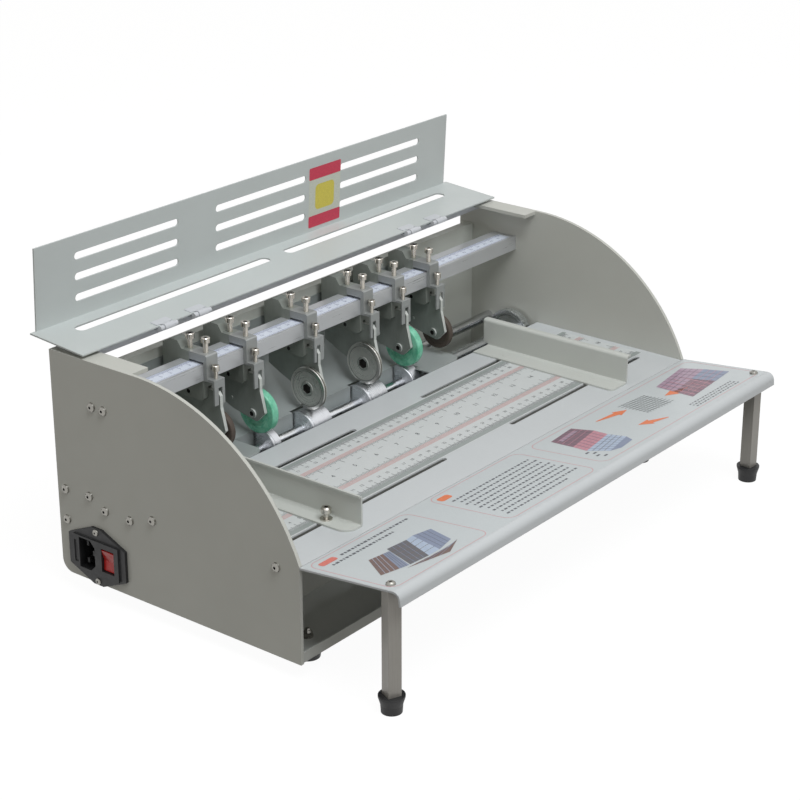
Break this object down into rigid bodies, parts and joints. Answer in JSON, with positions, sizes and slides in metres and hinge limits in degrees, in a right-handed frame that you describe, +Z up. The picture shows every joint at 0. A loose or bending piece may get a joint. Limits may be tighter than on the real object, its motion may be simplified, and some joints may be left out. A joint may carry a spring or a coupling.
{
  "type": "desktop paper creasing machine",
  "caption": "Desktop paper creasing machine: sheet-metal frame with feed table and side fences, driven roller shaft, sliding wheel heads on a bar, slotted hinged cover and front shelf.",
  "frame": {"origin": "centre of the machine's box, on the plane that its rubber feet stand on", "axes": "+X to the right seen from the feed side, along the roller shaft; +Y to the rear; +Z up"},
  "size_m": [0.5034, 0.3444, 0.2622],
  "materials": {
    "paint": "satin powder coat",
    "table_paint": "satin powder coat",
    "bright_sheet": "satin sheet",
    "steel": "ground",
    "aluminium": "drawn and anodised",
    "zinc": "zinc plated",
    "nickel": "nickel plated",
    "black_plastic": "moulded",
    "belt_rubber": "matte",
    "black_rubber": "moulded",
    "red_plastic": "gloss",
    "black_oxide": "black oxide",
    "brown_rubber": "moulded",
    "green_polyurethane": "cast, ground"
  },
  "bodies": {
    "frame": {"left_side_plate": "paint", "right_side_plate": "paint", "base_pan": "paint", "rear_panel": "paint", "paper_chute": "bright_sheet", "frame_tie_rods": "steel", "feed_table": "table_paint", "front_shelf": "table_paint", "legs": "steel", "rubber_feet": "black_rubber", "frame_screws": "nickel", "cross_bar": "aluminium", "bearing_housings": "zinc", "hinge_rail": "paint", "power_inlet": "black_plastic", "drive_motor": "zinc", "drive_belt": "belt_rubber"},
    "cover": {"cover": "paint", "cover_hinge_leaves": "paint"},
    "rocker": {"rocker_switch": "red_plastic"},
    "motor_rotor": {"motor_pulley": "steel"},
    "feed_roller": {"feed_shaft": "steel", "shaft_pulley": "steel", "feed_rollers": "steel", "hand_wheel": "zinc"},
    "left_fence": {"left_fence": "paint", "left_fence_locks": "nickel"},
    "right_fence": {"right_fence": "paint", "right_fence_locks": "nickel"},
    "head_1": {"head_1_block": "black_oxide", "head_1_strap": "zinc", "head_1_screws": "nickel"},
    "arm_1": {"head_1_arm": "black_oxide"},
    "wheel_1": {"head_1_wheel": "brown_rubber"},
    "head_2": {"head_2_block": "black_oxide", "head_2_strap": "zinc", "head_2_screws": "nickel"},
    "arm_2": {"head_2_arm": "black_oxide"},
    "wheel_2": {"head_2_wheel": "green_polyurethane"},
    "head_3": {"head_3_block": "black_oxide", "head_3_strap": "zinc", "head_3_screws": "nickel"},
    "arm_3": {"head_3_arm": "black_oxide"},
    "wheel_3": {"head_3_wheel": "steel"},
    "head_4": {"head_4_block": "black_oxide", "head_4_strap": "zinc", "head_4_screws": "nickel"},
    "arm_4": {"head_4_arm": "black_oxide"},
    "wheel_4": {"head_4_wheel": "steel"},
    "head_5": {"head_5_block": "black_oxide", "head_5_strap": "zinc", "head_5_screws": "nickel"},
    "arm_5": {"head_5_arm": "black_oxide"},
    "wheel_5": {"head_5_wheel": "green_polyurethane"},
    "head_6": {"head_6_block": "black_oxide", "head_6_strap": "zinc", "head_6_screws": "nickel"},
    "arm_6": {"head_6_arm": "black_oxide"},
    "wheel_6": {"head_6_wheel": "brown_rubber"}
  },
  "joints": [
    {"name": "cover_hinge", "type": "hinge", "parent": "frame", "child": "cover", "pos_m": [0.0009, 0.11524, 0.1929], "axis": [1, 0, 0], "range_deg": [0, 175.7]},
    {"name": "feed_spin", "type": "hinge", "parent": "frame", "child": "feed_roller", "pos_m": [0.0009, 0.09074, 0.0754], "axis": [1, 0, 0], "continuous": true},
    {"name": "motor_spin", "type": "hinge", "parent": "frame", "child": "motor_rotor", "pos_m": [-0.2191, 0.04374, 0.0459], "axis": [1, 0, 0], "continuous": true},
    {"name": "rocker_tilt", "type": "hinge", "parent": "frame", "child": "rocker", "pos_m": [-0.2472, 0.10014, 0.0362], "axis": [0, 1, 0], "range_deg": [0, 14]},
    {"name": "left_fence_slide", "type": "slide", "parent": "frame", "child": "left_fence", "axis": [1, 0, 0], "range_m": [-0.044, 0.135]},
    {"name": "right_fence_slide", "type": "slide", "parent": "frame", "child": "right_fence", "axis": [1, 0, 0], "range_m": [-0.113, 0.067]},
    {"name": "head_1_slide", "type": "slide", "parent": "frame", "child": "head_1", "axis": [1, 0, 0], "range_m": [-0.08, 0.012]},
    {"name": "arm_1_lift", "type": "hinge", "parent": "head_1", "child": "arm_1", "pos_m": [-0.1471, 0.10774, 0.1392], "axis": [-1, 0, 0], "range_deg": [0, 4]},
    {"name": "wheel_1_spin", "type": "hinge", "parent": "arm_1", "child": "wheel_1", "pos_m": [-0.1408, 0.08814, 0.1099], "axis": [1, 0, 0], "continuous": true},
    {"name": "head_2_slide", "type": "slide", "parent": "frame", "child": "head_2", "axis": [1, 0, 0], "range_m": [-0.012, 0.024]},
    {"name": "arm_2_lift", "type": "hinge", "parent": "head_2", "child": "arm_2", "pos_m": [-0.1033, 0.10774, 0.1392], "axis": [-1, 0, 0], "range_deg": [0, 4]},
    {"name": "wheel_2_spin", "type": "hinge", "parent": "arm_2", "child": "wheel_2", "pos_m": [-0.097, 0.08814, 0.1099], "axis": [1, 0, 0], "continuous": true},
    {"name": "head_3_slide", "type": "slide", "parent": "frame", "child": "head_3", "axis": [1, 0, 0], "range_m": [-0.024, 0.027]},
    {"name": "arm_3_lift", "type": "hinge", "parent": "head_3", "child": "arm_3", "pos_m": [-0.0332, 0.10774, 0.1392], "axis": [-1, 0, 0], "range_deg": [0, 4]},
    {"name": "wheel_3_spin", "type": "hinge", "parent": "arm_3", "child": "wheel_3", "pos_m": [-0.0395, 0.08814, 0.1099], "axis": [1, 0, 0], "continuous": true},
    {"name": "head_4_slide", "type": "slide", "parent": "frame", "child": "head_4", "axis": [1, 0, 0], "range_m": [-0.027, 0.014]},
    {"name": "arm_4_lift", "type": "hinge", "parent": "head_4", "child": "arm_4", "pos_m": [0.0364, 0.10774, 0.1392], "axis": [-1, 0, 0], "range_deg": [0, 4]},
    {"name": "wheel_4_spin", "type": "hinge", "parent": "arm_4", "child": "wheel_4", "pos_m": [0.0301, 0.08814, 0.1099], "axis": [1, 0, 0], "continuous": true},
    {"name": "head_5_slide", "type": "slide", "parent": "frame", "child": "head_5", "axis": [1, 0, 0], "range_m": [-0.014, 0.014]},
    {"name": "arm_5_lift", "type": "hinge", "parent": "head_5", "child": "arm_5", "pos_m": [0.0771, 0.10774, 0.1392], "axis": [-1, 0, 0], "range_deg": [0, 4]},
    {"name": "wheel_5_spin", "type": "hinge", "parent": "arm_5", "child": "wheel_5", "pos_m": [0.0834, 0.08814, 0.1099], "axis": [1, 0, 0], "continuous": true},
    {"name": "head_6_slide", "type": "slide", "parent": "frame", "child": "head_6", "axis": [1, 0, 0], "range_m": [-0.013, 0.095]},
    {"name": "arm_6_lift", "type": "hinge", "parent": "head_6", "child": "arm_6", "pos_m": [0.1237, 0.10774, 0.1392], "axis": [-1, 0, 0], "range_deg": [0, 4]},
    {"name": "wheel_6_spin", "type": "hinge", "parent": "arm_6", "child": "wheel_6", "pos_m": [0.13, 0.08814, 0.1099], "axis": [1, 0, 0], "continuous": true}
  ],
  "couplings": [
    {"joint": "motor_spin", "follows": "feed_spin", "ratio": 2},
    {"joint": "wheel_2_spin", "follows": "feed_spin", "ratio": -0.88764},
    {"joint": "wheel_3_spin", "follows": "feed_spin", "ratio": -0.88764},
    {"joint": "wheel_4_spin", "follows": "feed_spin", "ratio": -0.88764},
    {"joint": "wheel_5_spin", "follows": "feed_spin", "ratio": -0.88764}
  ]
}
